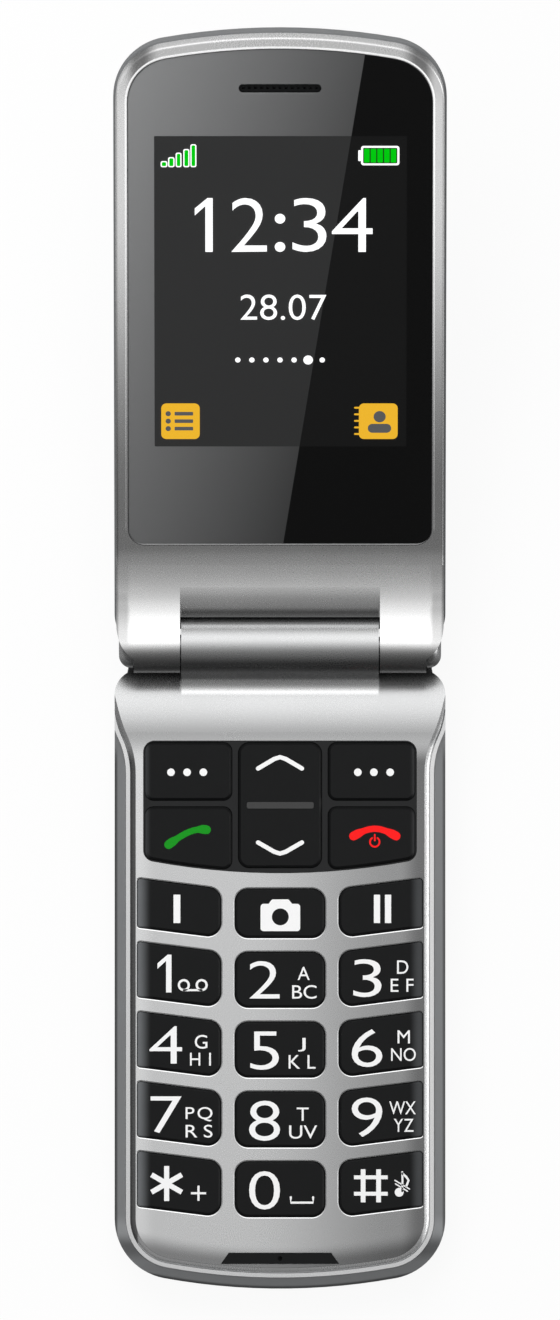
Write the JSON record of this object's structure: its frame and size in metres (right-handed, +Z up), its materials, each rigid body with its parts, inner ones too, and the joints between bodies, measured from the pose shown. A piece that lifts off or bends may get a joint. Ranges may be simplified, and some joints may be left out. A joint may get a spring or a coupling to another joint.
{
  "type": "flip phone",
  "caption": "Clamshell mobile phone with large keys, open on its barrel hinge: keypad half, display half, working keys.",
  "frame": {"origin": "on the flat back of the keypad half, midway between the hinge axis and the keypad end", "axes": "+Y from the keypad towards the hinge and the lid, +Z up out of the keypad, +X to the right"},
  "size_m": [0.052, 0.1974, 0.0441],
  "materials": {
    "silver_case": "satin silver paint over moulded plastic",
    "grey_case": "satin mid-grey moulded plastic",
    "bright_trim": "bright silver lacquer",
    "black_key": "satin black key caps with white printed legends",
    "panel_black": "gloss black",
    "window_glass": "smoked hard-coated window",
    "display_panel": "liquid-crystal module",
    "silicone": "translucent silicone sheet",
    "film": "amber polyimide film",
    "board": "green solder mask",
    "bright_metal": "tinned sheet steel",
    "screw_steel": "plain steel",
    "spring_steel": "spring wire",
    "bearing_plastic": "acetal bearing",
    "module_black": "moulded black",
    "connector_black": "moulded black",
    "battery_label": "blank dark label over the cell",
    "magnet": "nickel-plated magnet"
  },
  "bodies": {
    "base": {"base_front_housing": "silver_case", "base_rear_housing": "grey_case", "base_trim": "bright_trim", "nav_panel": "panel_black", "keypad_mat": "silicone", "dome_sheet": "film", "main_board": "board", "board_shields": "bright_metal", "battery": "battery_label", "battery_connector": "connector_black", "loudspeaker": "module_black", "microphone": "bright_metal", "mic_insert": "panel_black", "usb_socket": "bright_metal", "sim_holder": "bright_metal", "vibration_motor": "bright_metal", "antenna": "module_black", "base_screws": "screw_steel", "hinge_cartridge": "screw_steel", "hinge_spring": "spring_steel", "hinge_bush": "bearing_plastic", "display_flex": "film"},
    "lid": {"lid_inner_housing": "silver_case", "lid_outer_housing": "grey_case", "display_window": "window_glass", "earpiece_grille": "module_black", "earpiece_speaker": "module_black", "main_display": "display_panel", "lid_board": "board", "outer_display": "display_panel", "outer_window": "window_glass", "camera_module": "module_black", "camera_window": "window_glass", "lid_screws": "screw_steel", "lid_magnet": "magnet", "hinge_cam": "screw_steel", "hinge_pin": "screw_steel", "hinge_end_caps": "silver_case"},
    "key_memory_1": {"key_memory_1": "black_key"},
    "key_camera": {"key_camera": "black_key"},
    "key_memory_2": {"key_memory_2": "black_key"},
    "key_1": {"key_1": "black_key"},
    "key_2": {"key_2": "black_key"},
    "key_3": {"key_3": "black_key"},
    "key_4": {"key_4": "black_key"},
    "key_5": {"key_5": "black_key"},
    "key_6": {"key_6": "black_key"},
    "key_7": {"key_7": "black_key"},
    "key_8": {"key_8": "black_key"},
    "key_9": {"key_9": "black_key"},
    "key_star": {"key_star": "black_key"},
    "key_0": {"key_0": "black_key"},
    "key_hash": {"key_hash": "black_key"},
    "left_soft_key": {"left_soft_key": "black_key"},
    "right_soft_key": {"right_soft_key": "black_key"},
    "call_key": {"call_key": "black_key"},
    "end_key": {"end_key": "black_key"},
    "nav_rocker": {"nav_rocker": "black_key"},
    "volume_rocker": {"volume_rocker": "bright_trim"},
    "battery_cover": {"battery_cover": "grey_case"}
  },
  "joints": [
    {"name": "lid_hinge", "type": "hinge", "parent": "base", "child": "lid", "pos_m": [0, 0.0505, 0.01], "axis": [1, 0, 0], "range_deg": [0, 160]},
    {"name": "key_memory_1_press", "type": "slide", "parent": "base", "child": "key_memory_1", "axis": [0, 0, -1], "range_m": [0, 0.0003], "stiffness_N_per_m": 1500},
    {"name": "key_camera_press", "type": "slide", "parent": "base", "child": "key_camera", "axis": [0, 0, -1], "range_m": [0, 0.0003], "stiffness_N_per_m": 1500},
    {"name": "key_memory_2_press", "type": "slide", "parent": "base", "child": "key_memory_2", "axis": [0, 0, -1], "range_m": [0, 0.0003], "stiffness_N_per_m": 1500},
    {"name": "key_1_press", "type": "slide", "parent": "base", "child": "key_1", "axis": [0, 0, -1], "range_m": [0, 0.0003], "stiffness_N_per_m": 1500},
    {"name": "key_2_press", "type": "slide", "parent": "base", "child": "key_2", "axis": [0, 0, -1], "range_m": [0, 0.0003], "stiffness_N_per_m": 1500},
    {"name": "key_3_press", "type": "slide", "parent": "base", "child": "key_3", "axis": [0, 0, -1], "range_m": [0, 0.0003], "stiffness_N_per_m": 1500},
    {"name": "key_4_press", "type": "slide", "parent": "base", "child": "key_4", "axis": [0, 0, -1], "range_m": [0, 0.0003], "stiffness_N_per_m": 1500},
    {"name": "key_5_press", "type": "slide", "parent": "base", "child": "key_5", "axis": [0, 0, -1], "range_m": [0, 0.0003], "stiffness_N_per_m": 1500},
    {"name": "key_6_press", "type": "slide", "parent": "base", "child": "key_6", "axis": [0, 0, -1], "range_m": [0, 0.0003], "stiffness_N_per_m": 1500},
    {"name": "key_7_press", "type": "slide", "parent": "base", "child": "key_7", "axis": [0, 0, -1], "range_m": [0, 0.0003], "stiffness_N_per_m": 1500},
    {"name": "key_8_press", "type": "slide", "parent": "base", "child": "key_8", "axis": [0, 0, -1], "range_m": [0, 0.0003], "stiffness_N_per_m": 1500},
    {"name": "key_9_press", "type": "slide", "parent": "base", "child": "key_9", "axis": [0, 0, -1], "range_m": [0, 0.0003], "stiffness_N_per_m": 1500},
    {"name": "key_star_press", "type": "slide", "parent": "base", "child": "key_star", "axis": [0, 0, -1], "range_m": [0, 0.0003], "stiffness_N_per_m": 1500},
    {"name": "key_0_press", "type": "slide", "parent": "base", "child": "key_0", "axis": [0, 0, -1], "range_m": [0, 0.0003], "stiffness_N_per_m": 1500},
    {"name": "key_hash_press", "type": "slide", "parent": "base", "child": "key_hash", "axis": [0, 0, -1], "range_m": [0, 0.0003], "stiffness_N_per_m": 1500},
    {"name": "left_soft_key_press", "type": "slide", "parent": "base", "child": "left_soft_key", "axis": [0, 0, -1], "range_m": [0, 0.0003], "stiffness_N_per_m": 1500},
    {"name": "right_soft_key_press", "type": "slide", "parent": "base", "child": "right_soft_key", "axis": [0, 0, -1], "range_m": [0, 0.0003], "stiffness_N_per_m": 1500},
    {"name": "call_key_press", "type": "slide", "parent": "base", "child": "call_key", "axis": [0, 0, -1], "range_m": [0, 0.0003], "stiffness_N_per_m": 1500},
    {"name": "end_key_press", "type": "slide", "parent": "base", "child": "end_key", "axis": [0, 0, -1], "range_m": [0, 0.0003], "stiffness_N_per_m": 1500},
    {"name": "nav_rocker_tilt", "type": "hinge", "parent": "base", "child": "nav_rocker", "pos_m": [0, 0.02555, 0.009], "axis": [1, 0, 0], "range_deg": [-1.2, 1.2], "stiffness_Nm_per_rad": 0.5},
    {"name": "volume_rocker_tilt", "type": "hinge", "parent": "base", "child": "volume_rocker", "pos_m": [-0.0245, 0.0175, 0.0042], "axis": [0, 0, 1], "range_deg": [-1.2, 1.2], "stiffness_Nm_per_rad": 0.3},
    {"name": "battery_cover_lift", "type": "slide", "parent": "base", "child": "battery_cover", "axis": [0, 0, -1], "range_m": [0, 0.03]}
  ]
}
